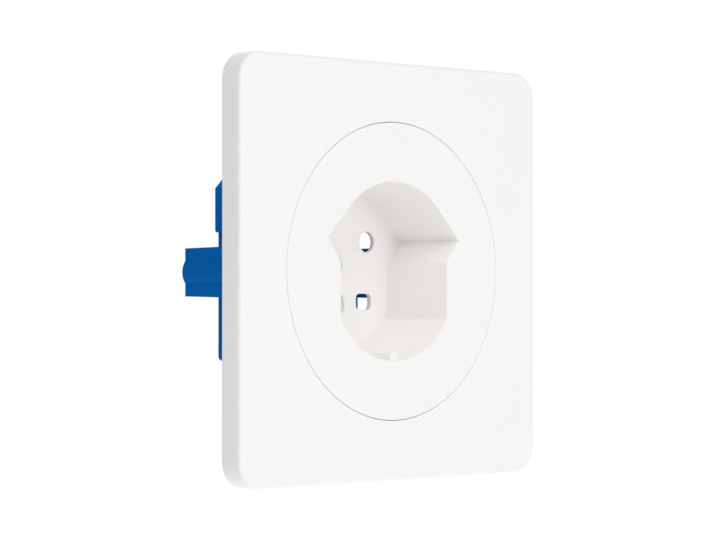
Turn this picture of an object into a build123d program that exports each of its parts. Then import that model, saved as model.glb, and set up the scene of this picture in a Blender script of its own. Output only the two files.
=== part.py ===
"""Flush wall socket for a five-pole plug: frame, insert, mounting plate and contact base.

The origin is the centre of the wall plane, where the frame's rear rim meets the wall.
+X is to the right as seen from the front, +Z is up, and the front faces -Y.
"""

import os
from math import acos, atan2, cos, degrees, radians, sin, sqrt

from build123d import *

# Cover frame
frame_side = 86.0
frame_depth = 5.4
frame_corner_radius = 5.5
frame_edge_radius = 1.0
frame_skin = 2.0
frame_wall = 2.0
collar_wall = 1.8
ledge_width = 2.4
ledge_web = 0.5
joint_gap = 0.15

# Front insert and the plug recess in it
insert_diameter = 61.2
insert_rim = 2.0
recess_radius = 18.4
recess_depth = 17.9
recess_flat_inset = 2.9
recess_shoulder = 2.0
recess_tip_reach = 1.81
recess_tip_angle = 19.06
recess_wall = 1.3
recess_floor = 1.1
shoulder_radius = 0.5
floor_bevel = 0.4
mouth_bevel = 0.3
key_width = 1.95
key_height = 1.65
key_setback = 0.5

# Pin openings in the recess floor
pin_hole_radius = 2.2
line_pin_x = 9.5
line_pin_z = 6.4
earth_pin_z = 1.5
blade_pin_x = 8.5
blade_pin_z = -6.3
blade_hole_width = 4.4
blade_hole_height = 3.4
blade_hole_radius = 1.0
pin_radius = 2.0
pin_length = 19.0
pin_passage_gap = 0.3

# Insert screw and the threaded bush that it turns in
insert_screw_z = -6.75
insert_screw_radius = 1.75
insert_head_radius = 2.7
insert_screw_length = 10.0
seat_height = 1.0
seat_radius = 4.4
bush_radius = 2.6
bush_length = 6.5

# Mounting plate and its screws
plate_gap = 3.0
plate_thickness = 1.6
plate_corner_radius = 6.0
slot_spacing = 60.0
slot_length = 8.0
slot_width = 4.2
box_head_room = 10.0
plate_screw_radius = 1.5
plate_head_radius = 2.7
plate_screw_length = 9.0

# Contact base: a drafted beam behind the recess, with a chamber block at its middle
beam_half_span = 27.0
beam_height = 11.07
beam_z = -0.18
beam_draft = 1.0
beam_depth = 5.25
boss_radius = 3.8
boss_bulge = 0.3
boss_z = -0.15
core_width = 3.2
core_height = 6.4
core_depth = 12.0
pocket_wall = 1.2
pocket_depth = 8.95
chamber_wall = 1.1
chamber_bevel = 1.27
chamber_radius = 1.0

# Rear cover with its latch arms and screw
cover_wall = 1.5
cover_bevel = 0.9
pin_end_gap = 1.5
wire_hole_radius = 1.7
wire_lead_in = 0.4
latch_thickness = 0.93
latch_bottom = 8.4
latch_reach = 8.0
latch_round = 0.6
nub_width = 3.0
nub_length = 2.0
nub_height = 0.6
cover_screw_rise = 4.25
cover_screw_radius = 1.25
cover_head_radius = 2.3
cover_head_height = 1.5
cover_boss_radius = 3.2
cover_screw_length = 9.0

# Contacts, their springs and the terminals
strap = 0.8
sleeve_wall = 0.8
sleeve_length = 7.75
sleeve_web = 1.2
finger_slot = 0.7
blade_width = 4.0
blade_thickness = 2.8
spring_thickness = 0.4
spring_length = 3.5
spring_opening = 1.2
terminal_x = 8.5
upper_terminal_rise = 6.4
lower_terminal_drop = 5.35
tongue_width = 3.6
cage_wall = 0.8
cage_roof = 1.2
cage_length = 5.6
cage_corner_radius = 0.6
wire_room = 3.6
wire_diameter = 1.9
terminal_screw_radius = 1.5
terminal_head_radius = 2.4
terminal_head_height = 1.8
head_recess = 0.4

# Clearances, countersinks and screw slots
cup_clearance = 0.5
thread_clearance = 0.05
press_clearance = 0.02
slide_clearance = 0.2
countersink_angle = 90.0
drive_slot_width = 0.8
drive_slot_depth = 0.8
hole_spare = 1.0

# Stations along Y, from the front face to the rear
front = -frame_depth
floor_front = front + recess_depth
floor_rear = floor_front + recess_floor
beam_front = floor_rear + seat_height
chamber_front = beam_front + beam_depth
pocket_front = chamber_front + pocket_wall
base_rear = pocket_front + pocket_depth
cover_inside = floor_front + pin_length + pin_end_gap
cover_rear = cover_inside + cover_wall
cover_depth = cover_rear - base_rear
cage_front = pocket_front + strap + slide_clearance
cage_middle = cage_front + cage_length / 2
cage_rear = cage_front + cage_length
sleeve_end = pocket_front + strap + sleeve_length
spring_rear = sleeve_end - (sleeve_length - sleeve_web - spring_length) / 2
latch_front = base_rear - latch_reach
latch_rear = cover_rear - cover_bevel

# Radii and widths that follow from the sizes above
insert_radius = insert_diameter / 2
opening_radius = insert_radius + joint_gap
recess_flat = recess_radius - recess_flat_inset
recess_tip = recess_radius + recess_tip_reach
plate_side = frame_side - 2 * (frame_wall + plate_gap)
sleeve_radius = pin_radius + sleeve_wall
spring_radius = sleeve_radius + press_clearance + spring_thickness
cage_inner_width = tongue_width + 2 * slide_clearance
cage_width = cage_inner_width + 2 * cage_wall
passage_radius = pin_hole_radius + pin_passage_gap
boss_x = beam_half_span + boss_bulge - boss_radius
line_pocket_inner = min(terminal_x - cage_width / 2, line_pin_x - spring_radius) - slide_clearance
line_pocket_outer = max(terminal_x + cage_width / 2, line_pin_x + spring_radius) + slide_clearance
earth_pocket_half = max(cage_width / 2, spring_radius) + slide_clearance
chamber_half = line_pocket_outer + chamber_wall
clip_height = blade_thickness + 2 * (strap + press_clearance + spring_thickness)
clip_width = blade_width + 2 * (press_clearance + spring_thickness)

# Terminal levels along Z: a tongue's wire face, then the cage, the head and the outside
upper_tongue = line_pin_z + upper_terminal_rise
lower_tongue = blade_pin_z - lower_terminal_drop
roof_reach = wire_room + cage_roof
head_reach = roof_reach + slide_clearance + terminal_head_height
chamber_top = upper_tongue + head_reach + head_recess
chamber_bottom = lower_tongue - head_reach - head_recess
cover_screw_z = chamber_bottom + cover_screw_rise
latch_top = chamber_top - chamber_bevel - latch_thickness
nub_front = latch_front + nub_length
nub_bottom = (latch_bottom + latch_top - nub_width) / 2


def facing_front(y: float) -> Plane:
    """A sketch plane at depth y with its normal towards the front."""
    return Plane.XZ.offset(-y)


def facing(x: float, y: float, z: float, way: tuple, across: tuple = (1, 0, 0)) -> Plane:
    """A place for a screw or a hole: its head looks along way, its drive slot lies across."""
    return Plane(origin=(x, y, z), x_dir=across, z_dir=way)


insert_screw_place = facing(0, floor_front, insert_screw_z, (0, -1, 0), (0, 0, 1))
plate_screw_places = [facing(x, -plate_thickness, boss_z, (0, -1, 0)) for x in (-boss_x, boss_x)]
cover_screw_place = facing(0, cover_rear, cover_screw_z, (0, 1, 0))


def recess_section(y: float, grow: float = 0.0) -> Sketch:
    """The recess outline at depth y, grown outwards by a wall or a clearance.

    The straight upper sides run from the two tips as tangents to the circle.
    """
    tip_angle = radians(recess_tip_angle)
    tip_point = (recess_tip * cos(tip_angle), recess_tip * sin(tip_angle))
    touch = tip_angle + acos(recess_radius / recess_tip)
    touch_point = (recess_radius * cos(touch), recess_radius * sin(touch))
    flat_end = -sqrt(recess_radius**2 - recess_flat**2)
    flat_angle = degrees(atan2(flat_end, recess_flat))
    with BuildSketch(facing_front(y)) as section:
        with BuildLine():
            CenterArc((0, 0), recess_radius, -90, 90 + flat_angle)
            Polyline(
                (recess_flat, flat_end),
                (recess_flat, recess_shoulder),
                tip_point,
                touch_point,
            )
            CenterArc((0, 0), recess_radius, degrees(touch), 90 - degrees(touch))
            mirror(about=Plane.YZ)
        make_face()
        if grow:
            offset(amount=grow)
        else:
            shoulders = [(-recess_flat, recess_shoulder), (recess_flat, recess_shoulder)]
            fillet([section.vertices().sort_by_distance(s)[0] for s in shoulders], shoulder_radius)
    return section.sketch


def chamber_section(y: float, shrink: float = 0.0) -> Sketch:
    """The outline of the chamber block at depth y, bevelled above and rounded below."""
    with BuildSketch(facing_front(y)) as section:
        with Locations((0, (chamber_top + chamber_bottom) / 2)):
            Rectangle(2 * chamber_half, chamber_top - chamber_bottom)
        chamfer(section.vertices().group_by(Axis.Y)[-1], chamber_bevel)
        fillet(section.vertices().group_by(Axis.Y)[0], chamber_radius)
        if shrink:
            offset(amount=-shrink)
    return section.sketch


def countersunk_screw(head_radius: float, shank_radius: float, length: float) -> Part:
    """A slotted countersunk screw below the XY plane, its head's face on that plane."""
    with BuildPart() as screw:
        with BuildSketch(Plane.XZ):
            with BuildLine():
                Polyline(
                    (0, 0),
                    (head_radius, 0),
                    (shank_radius, shank_radius - head_radius),
                    (shank_radius, -length),
                    (0, -length),
                    close=True,
                )
            make_face()
        revolve(axis=Axis.Z)
        with BuildSketch(Plane.XY):
            Rectangle(2 * head_radius, drive_slot_width)
        extrude(amount=-drive_slot_depth, mode=Mode.SUBTRACT)
    return screw.part


def cheese_head_screw(
    head_radius: float, head_height: float, shank_radius: float, length: float
) -> Part:
    """A slotted cheese-head screw below the XY plane, its head's face on that plane."""
    with BuildPart() as screw:
        with BuildSketch(Plane.XZ):
            with BuildLine():
                Polyline(
                    (0, 0),
                    (head_radius, 0),
                    (head_radius, -head_height),
                    (shank_radius, -head_height),
                    (shank_radius, -length),
                    (0, -length),
                    close=True,
                )
            make_face()
        revolve(axis=Axis.Z)
        with BuildSketch(Plane.XY):
            Rectangle(2 * head_radius, drive_slot_width)
        extrude(amount=-drive_slot_depth, mode=Mode.SUBTRACT)
    return screw.part


# Cover frame: hollow behind, with a collar and a ledge round the opening
with BuildPart() as cover_frame:
    with BuildSketch(facing_front(0)):
        RectangleRounded(frame_side, frame_side, frame_corner_radius)
    extrude(amount=frame_depth)
    fillet(cover_frame.edges().group_by(Axis.Y)[0], frame_edge_radius)
    with BuildSketch(facing_front(0)):
        inner_side = frame_side - 2 * frame_wall
        RectangleRounded(inner_side, inner_side, frame_corner_radius - frame_wall)
    extrude(amount=frame_depth - frame_skin, mode=Mode.SUBTRACT)
    with BuildSketch(facing_front(-plate_thickness)):
        Circle(opening_radius + collar_wall)
    extrude(amount=frame_depth - plate_thickness - frame_skin)
    with BuildSketch(facing_front(-plate_thickness)):
        Circle(insert_radius - ledge_width)
    extrude(amount=frame_depth - plate_thickness, mode=Mode.SUBTRACT)
    with BuildSketch(facing_front(front + insert_rim)):
        Circle(opening_radius)
    extrude(amount=insert_rim, mode=Mode.SUBTRACT)
    # Notches in the ledge leave room for the heads of the wall box's screws
    with BuildSketch(facing_front(-plate_thickness)):
        with GridLocations(0, slot_spacing, 1, 2):
            Rectangle(box_head_room, box_head_room)
    extrude(amount=frame_depth - plate_thickness - insert_rim - ledge_web, mode=Mode.SUBTRACT)

# Front insert: a disc that clamps the frame's ledge, with the recess cup behind it
with BuildPart() as front_insert:
    with BuildSketch(facing_front(front + insert_rim)):
        Circle(insert_radius)
    extrude(amount=insert_rim)
    extrude(recess_section(floor_rear, recess_wall), amount=floor_rear - front - insert_rim)
    with BuildSketch(facing_front(beam_front)):
        with Locations((0, insert_screw_z)):
            Circle(seat_radius)
    extrude(amount=seat_height)
    extrude(recess_section(floor_front), amount=recess_depth, mode=Mode.SUBTRACT)
    floor = front_insert.faces(Select.LAST).sort_by(Axis.Y)[-1]
    chamfer(floor.edges(), floor_bevel)
    mouth = front_insert.faces().sort_by(Axis.Y)[0].inner_wires()[0]
    chamfer(mouth.edges(), mouth_bevel)
    with BuildSketch(facing_front(floor_front)):
        with Locations((0, key_height / 2 - recess_radius - recess_wall / 2)):
            Rectangle(key_width, key_height + recess_wall)
    extrude(amount=recess_depth - key_setback)
    with BuildSketch(facing_front(floor_rear)):
        with Locations((-line_pin_x, line_pin_z), (line_pin_x, line_pin_z), (0, earth_pin_z)):
            Circle(pin_hole_radius)
    extrude(amount=recess_floor, mode=Mode.SUBTRACT)
    with BuildSketch(facing_front(floor_rear)):
        with Locations((-blade_pin_x, blade_pin_z), (blade_pin_x, blade_pin_z)):
            RectangleRounded(blade_hole_width, blade_hole_height, blade_hole_radius)
    extrude(amount=recess_floor, mode=Mode.SUBTRACT)
    with Locations(insert_screw_place):
        CounterSinkHole(
            insert_screw_radius + slide_clearance,
            insert_head_radius + slide_clearance,
            recess_floor + seat_height,
            counter_sink_angle=countersink_angle,
        )

with BuildPart() as insert_screw:
    with Locations(insert_screw_place):
        add(countersunk_screw(insert_head_radius, insert_screw_radius, insert_screw_length))

# Mounting plate: lies on the wall inside the frame and carries the base
with BuildPart() as mounting_plate:
    with BuildSketch(facing_front(0)):
        RectangleRounded(plate_side, plate_side, plate_corner_radius)
        with GridLocations(0, slot_spacing, 1, 2):
            SlotOverall(slot_length, slot_width, rotation=90, mode=Mode.SUBTRACT)
    extrude(amount=plate_thickness)
    extrude(
        recess_section(0, recess_wall + cup_clearance),
        amount=plate_thickness,
        mode=Mode.SUBTRACT,
    )
    with Locations(*plate_screw_places):
        CounterSinkHole(
            plate_screw_radius + slide_clearance,
            plate_head_radius + slide_clearance,
            plate_thickness,
            counter_sink_angle=countersink_angle,
        )

with BuildPart() as plate_screws:
    with Locations(*plate_screw_places):
        add(countersunk_screw(plate_head_radius, plate_screw_radius, plate_screw_length))


def terminal_place(x: float, way: int) -> Plane:
    """Where a terminal screw's head lies: way is 1 in the upper row and -1 in the lower."""
    outside = chamber_top if way > 0 else chamber_bottom
    return facing(x, cage_middle, outside - way * head_recess, (0, 0, way))


upper_row = (-terminal_x, 0, terminal_x)
lower_row = (-blade_pin_x, blade_pin_x)
terminal_places = [terminal_place(x, 1) for x in upper_row]
terminal_places += [terminal_place(x, -1) for x in lower_row]

# Contact base: the beam, its screw bosses, the chamber block and what is cut from them
with BuildPart() as contact_base:
    with BuildSketch(Plane(origin=(0, 0, 0), x_dir=(-1, 0, 0), z_dir=(0, 1, 0))):
        with Locations((0, beam_z)):
            Rectangle(2 * beam_half_span, beam_height)
    extrude(amount=base_rear, taper=beam_draft)
    with BuildSketch(facing_front(base_rear)):
        with Locations((-boss_x, boss_z), (boss_x, boss_z)):
            Circle(boss_radius)
    extrude(amount=base_rear)
    extrude(
        recess_section(beam_front, recess_wall + cup_clearance),
        amount=beam_front,
        mode=Mode.SUBTRACT,
    )
    extrude(chamber_section(base_rear), amount=base_rear - chamber_front)
    with BuildSketch(facing_front(pocket_front)):
        with Locations((0, insert_screw_z)):
            Circle(seat_radius)
    extrude(amount=pocket_front - beam_front)
    # Five pockets for the contacts and clamps, open to the rear
    pocket_top = upper_tongue + roof_reach + slide_clearance
    line_pocket_bottom = line_pin_z - spring_radius - slide_clearance
    earth_pocket_bottom = earth_pin_z - spring_radius - slide_clearance
    blade_pocket_bottom = lower_tongue - roof_reach - slide_clearance
    blade_pocket_top = blade_pin_z + clip_height / 2 + slide_clearance
    with BuildSketch(facing_front(base_rear)):
        line_pocket_x = (line_pocket_inner + line_pocket_outer) / 2
        line_pocket_z = (pocket_top + line_pocket_bottom) / 2
        with Locations((-line_pocket_x, line_pocket_z), (line_pocket_x, line_pocket_z)):
            Rectangle(line_pocket_outer - line_pocket_inner, pocket_top - line_pocket_bottom)
        with Locations((0, (pocket_top + earth_pocket_bottom) / 2)):
            Rectangle(2 * earth_pocket_half, pocket_top - earth_pocket_bottom)
        blade_pocket_z = (blade_pocket_top + blade_pocket_bottom) / 2
        with Locations((-blade_pin_x, blade_pocket_z), (blade_pin_x, blade_pocket_z)):
            Rectangle(
                max(cage_width, clip_width) + 2 * slide_clearance,
                blade_pocket_top - blade_pocket_bottom,
            )
    extrude(amount=pocket_depth, mode=Mode.SUBTRACT)
    # Passages for the plug's pins, from the beam's front into the pockets
    with BuildSketch(facing_front(pocket_front)):
        with Locations((-line_pin_x, line_pin_z), (line_pin_x, line_pin_z), (0, earth_pin_z)):
            Circle(passage_radius)
        with Locations((-blade_pin_x, blade_pin_z), (blade_pin_x, blade_pin_z)):
            Rectangle(
                blade_hole_width + 2 * pin_passage_gap,
                blade_hole_height + 2 * pin_passage_gap,
            )
    extrude(amount=pocket_front - beam_front, mode=Mode.SUBTRACT)
    with Locations(facing(0, beam_front, insert_screw_z, (0, -1, 0))):
        Hole(bush_radius + press_clearance, bush_length)
        Hole(insert_screw_radius + slide_clearance, insert_screw_length)
    with Locations(*[facing(x, 0, boss_z, (0, -1, 0)) for x in (-boss_x, boss_x)]):
        Hole(plate_screw_radius + thread_clearance, plate_screw_length)
    with Locations(facing(0, base_rear, cover_screw_z, (0, 1, 0))):
        Hole(cover_screw_radius + thread_clearance, cover_screw_length - cover_depth + hole_spare)
    for way, row in ((1, upper_row), (-1, lower_row)):
        outside = chamber_top if way > 0 else chamber_bottom
        with Locations(*[facing(x, cage_middle, outside, (0, 0, way)) for x in row]):
            Hole(terminal_head_radius + slide_clearance, head_reach - roof_reach + head_recess)
    # Wedges on the block's sides catch the rear cover's latch arms
    with BuildSketch(Plane.XY.offset(nub_bottom)):
        with BuildLine():
            Polyline(
                (chamber_half, nub_front),
                (chamber_half + nub_height, nub_front),
                (chamber_half, nub_front + nub_length),
                close=True,
            )
        make_face()
        mirror(about=Plane.YZ)
    extrude(amount=nub_width)
    # Cores in the beam's ends keep its walls even
    core_x = (chamber_half + boss_x - boss_radius) / 2
    with BuildSketch(facing_front(base_rear)):
        with Locations((-core_x, beam_z), (core_x, beam_z)):
            Rectangle(core_width, core_height)
    extrude(amount=core_depth, mode=Mode.SUBTRACT)

# Rear cover: a shell with a bevelled rear, wire entries, a screw boss and two latch arms
with BuildPart() as rear_cover:
    extrude(chamber_section(cover_rear), amount=cover_depth)
    chamfer(rear_cover.faces().sort_by(Axis.Y)[-1].edges(), cover_bevel)
    extrude(
        chamber_section(cover_inside, cover_wall),
        amount=cover_inside - base_rear,
        mode=Mode.SUBTRACT,
    )
    with BuildSketch(facing_front(cover_rear)):
        with Locations((0, cover_screw_z)):
            Circle(cover_boss_radius)
    extrude(amount=cover_depth)
    with Locations(cover_screw_place):
        CounterBoreHole(
            cover_screw_radius + slide_clearance,
            cover_head_radius + slide_clearance,
            cover_head_height,
            cover_depth,
        )
    for way, row in ((1, upper_row), (-1, lower_row)):
        wire_z = (upper_tongue if way > 0 else lower_tongue) + way * wire_room / 2
        with Locations(*[facing(x, cover_rear, wire_z, (0, 1, 0)) for x in row]):
            CounterSinkHole(
                wire_hole_radius,
                wire_hole_radius + wire_lead_in,
                cover_wall,
                counter_sink_angle=countersink_angle,
            )
    with BuildSketch(facing_front(latch_rear)) as latch_section:
        with BuildLine():
            Polyline(
                (chamber_half, latch_bottom),
                (chamber_half + latch_thickness, latch_bottom),
                (chamber_half + latch_thickness, latch_top),
                (chamber_half, latch_top + latch_thickness),
                close=True,
            )
        make_face()
        fillet(latch_section.vertices().sort_by(Axis.Y)[:2].sort_by(Axis.X)[-1], latch_round)
        mirror(about=Plane.YZ)
    extrude(amount=latch_rear - latch_front)
    with BuildSketch(Plane.XY.offset(nub_bottom - slide_clearance)):
        window_y = nub_front + nub_length / 2
        window_x = chamber_half + latch_thickness / 2
        with Locations((-window_x, window_y), (window_x, window_y)):
            Rectangle(latch_thickness, nub_length + 2 * slide_clearance)
    extrude(amount=nub_width + 2 * slide_clearance, mode=Mode.SUBTRACT)

with BuildPart() as cover_screw:
    with Locations(cover_screw_place):
        add(
            cheese_head_screw(
                cover_head_radius, cover_head_height, cover_screw_radius, cover_screw_length
            )
        )

with BuildPart() as screw_bush:
    with BuildSketch(facing_front(beam_front + bush_length)):
        with Locations((0, insert_screw_z)):
            Circle(bush_radius)
            Circle(insert_screw_radius + thread_clearance, mode=Mode.SUBTRACT)
    extrude(amount=bush_length)


def sleeve_contact(pin_x: float, pin_z: float, tongue_x: float) -> Part:
    """A slotted sleeve for a round pin, with a front plate up to its terminal tongue."""
    with BuildPart() as contact:
        with BuildSketch(facing_front(pocket_front + strap)):
            with Locations((pin_x, pin_z)):
                Circle(sleeve_radius)
            with Locations((tongue_x, (pin_z + upper_tongue) / 2)):
                Rectangle(tongue_width, upper_tongue - pin_z)
        extrude(amount=strap)
        with BuildSketch(facing_front(sleeve_end)):
            with Locations((pin_x, pin_z)):
                Circle(sleeve_radius)
        extrude(amount=sleeve_length)
        with BuildSketch(facing_front(sleeve_end)):
            with Locations((pin_x, pin_z)):
                Circle(pin_radius)
        extrude(amount=sleeve_length + strap, mode=Mode.SUBTRACT)
        with BuildSketch(facing_front(sleeve_end)):
            with Locations((pin_x, pin_z)):
                Rectangle(2 * spring_radius, finger_slot)
        extrude(amount=sleeve_length - sleeve_web, mode=Mode.SUBTRACT)
        with BuildSketch(facing_front(cage_rear)):
            with Locations((tongue_x, upper_tongue - strap / 2)):
                Rectangle(tongue_width, strap)
        extrude(amount=cage_rear - pocket_front)
    return contact.part


def leaf_contact(pin_x: float) -> Part:
    """Two leaves for a flat pin, with a front plate down to its terminal tongue."""
    plate_top = blade_pin_z + blade_thickness / 2 + strap
    with BuildPart() as contact:
        with BuildSketch(facing_front(pocket_front + strap)):
            with Locations((pin_x, (plate_top + lower_tongue) / 2)):
                Rectangle(cage_width, plate_top - lower_tongue)
        extrude(amount=strap)
        with BuildSketch(facing_front(sleeve_end)):
            with Locations((pin_x, blade_pin_z)):
                Rectangle(blade_width, blade_thickness + 2 * strap)
        extrude(amount=sleeve_length)
        with BuildSketch(facing_front(sleeve_end)):
            with Locations((pin_x, blade_pin_z)):
                Rectangle(blade_width + 2 * slide_clearance, blade_thickness)
        extrude(amount=sleeve_length + strap, mode=Mode.SUBTRACT)
        with BuildSketch(facing_front(cage_rear)):
            with Locations((pin_x, lower_tongue + strap / 2)):
                Rectangle(tongue_width, strap)
        extrude(amount=cage_rear - pocket_front)
    return contact.part


def sleeve_spring(pin_x: float, pin_z: float) -> Part:
    """A steel ring, open below, that presses a sleeve's fingers together."""
    with BuildPart() as spring:
        with BuildSketch(facing_front(spring_rear)):
            with Locations((pin_x, pin_z)):
                Circle(spring_radius)
                Circle(sleeve_radius + press_clearance, mode=Mode.SUBTRACT)
            with Locations((pin_x, pin_z - spring_radius)):
                Rectangle(spring_opening, spring_radius, mode=Mode.SUBTRACT)
        extrude(amount=spring_length)
    return spring.part


def leaf_spring(pin_x: float) -> Part:
    """A steel clip, open at its outer side, that presses two leaves together."""
    side = 1 if pin_x > 0 else -1
    with BuildPart() as spring:
        with BuildSketch(facing_front(spring_rear)):
            with Locations((pin_x, blade_pin_z)):
                Rectangle(clip_width, clip_height)
                Rectangle(
                    clip_width - 2 * spring_thickness,
                    clip_height - 2 * spring_thickness,
                    mode=Mode.SUBTRACT,
                )
            with Locations((pin_x + side * clip_width / 2, blade_pin_z)):
                Rectangle(2 * clip_width - 2 * blade_width, blade_thickness, mode=Mode.SUBTRACT)
        extrude(amount=spring_length)
    return spring.part


def clamp_cage(x: float, way: int) -> Part:
    """A cage round a tongue, with the screw's thread in its outer wall."""
    tongue_face = upper_tongue if way > 0 else lower_tongue
    inner_z = tongue_face + way * (wire_room - strap) / 2
    outer_z = inner_z + way * (cage_roof - cage_wall) / 2
    inner_height = wire_room + strap
    with BuildPart() as cage:
        with BuildSketch(facing_front(cage_rear)):
            with Locations((x, outer_z)):
                RectangleRounded(cage_width, inner_height + cage_wall + cage_roof, cage_corner_radius)
            with Locations((x, inner_z)):
                Rectangle(cage_inner_width, inner_height, mode=Mode.SUBTRACT)
        extrude(amount=cage_length)
        with Locations(terminal_place(x, way)):
            Hole(
                terminal_screw_radius + thread_clearance,
                head_reach - wire_room + slide_clearance,
            )
    return cage.part


with BuildPart() as terminal_screws:
    with Locations(*terminal_places):
        add(
            cheese_head_screw(
                terminal_head_radius,
                terminal_head_height,
                terminal_screw_radius,
                head_reach - wire_diameter,
            )
        )

pieces = {
    "cover_frame": cover_frame.part,
    "front_insert": front_insert.part,
    "insert_screw": insert_screw.part,
    "screw_bush": screw_bush.part,
    "mounting_plate": mounting_plate.part,
    "plate_screws": plate_screws.part,
    "contact_base": contact_base.part,
    "rear_cover": rear_cover.part,
    "cover_screw": cover_screw.part,
    "terminal_screws": terminal_screws.part,
}
round_poles = {
    "phase_1": (-line_pin_x, line_pin_z, -terminal_x),
    "neutral": (line_pin_x, line_pin_z, terminal_x),
    "earth": (0, earth_pin_z, 0),
}
for pole, (pin_x, pin_z, tongue_x) in round_poles.items():
    pieces[f"contact_{pole}"] = sleeve_contact(pin_x, pin_z, tongue_x)
    pieces[f"spring_{pole}"] = sleeve_spring(pin_x, pin_z)
    pieces[f"clamp_{pole}"] = clamp_cage(tongue_x, 1)
flat_poles = {"phase_2": -blade_pin_x, "phase_3": blade_pin_x}
for pole, pin_x in flat_poles.items():
    pieces[f"contact_{pole}"] = leaf_contact(pin_x)
    pieces[f"spring_{pole}"] = leaf_spring(pin_x)
    pieces[f"clamp_{pole}"] = clamp_cage(pin_x, -1)

os.makedirs("parts", exist_ok=True)
for name, piece in pieces.items():
    piece.label = name
    export_step(piece, f"parts/{name}.step")
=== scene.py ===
"""Looks of a flush wall socket: white frame and insert, blue contact base, brass and steel inside.

Lengths are in metres. The origin is the centre of the wall plane, +X is to the right as
seen from the front, +Z is up and the front faces -Y.
"""

import logging
import math
from dataclasses import dataclass
from enum import Enum

import bmesh
import bpy
import numpy as np
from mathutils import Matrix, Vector
from mathutils.geometry import tessellate_polygon


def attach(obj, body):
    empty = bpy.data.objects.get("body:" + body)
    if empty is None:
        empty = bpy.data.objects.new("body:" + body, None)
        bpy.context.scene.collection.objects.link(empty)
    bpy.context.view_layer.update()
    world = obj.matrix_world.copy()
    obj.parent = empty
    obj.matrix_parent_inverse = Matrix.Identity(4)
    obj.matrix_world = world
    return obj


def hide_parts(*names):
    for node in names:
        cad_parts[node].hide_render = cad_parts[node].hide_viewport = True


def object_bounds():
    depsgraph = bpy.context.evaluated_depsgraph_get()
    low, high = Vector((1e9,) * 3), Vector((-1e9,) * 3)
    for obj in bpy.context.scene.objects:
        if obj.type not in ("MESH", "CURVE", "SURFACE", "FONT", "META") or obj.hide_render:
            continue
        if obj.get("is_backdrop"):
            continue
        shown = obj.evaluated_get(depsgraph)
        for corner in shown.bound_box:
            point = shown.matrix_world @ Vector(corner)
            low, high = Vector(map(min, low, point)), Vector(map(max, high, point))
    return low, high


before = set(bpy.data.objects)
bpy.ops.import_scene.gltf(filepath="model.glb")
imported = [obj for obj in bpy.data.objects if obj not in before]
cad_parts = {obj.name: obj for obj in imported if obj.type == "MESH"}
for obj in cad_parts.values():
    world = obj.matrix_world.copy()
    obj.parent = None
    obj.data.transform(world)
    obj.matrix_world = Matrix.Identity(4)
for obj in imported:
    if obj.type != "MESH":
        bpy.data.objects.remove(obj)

LOG = logging.getLogger("wall_socket")
BODY = "root"
MM = 0.001
MICRON = 0.000001
WHITE = (1.0, 1.0, 1.0, 1.0)

Socket = bpy.types.NodeSocket
Colour = tuple[float, float, float]
Triple = tuple[float, float, float]
Pair = tuple[float, float]


class Finish(Enum):
    """The material slots of the record, by what they are."""

    FRAME = "frame_white"
    INSERT = "insert_white"
    BASE = "base_blue"
    BRASS = "brass"
    STEEL = "steel"


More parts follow.
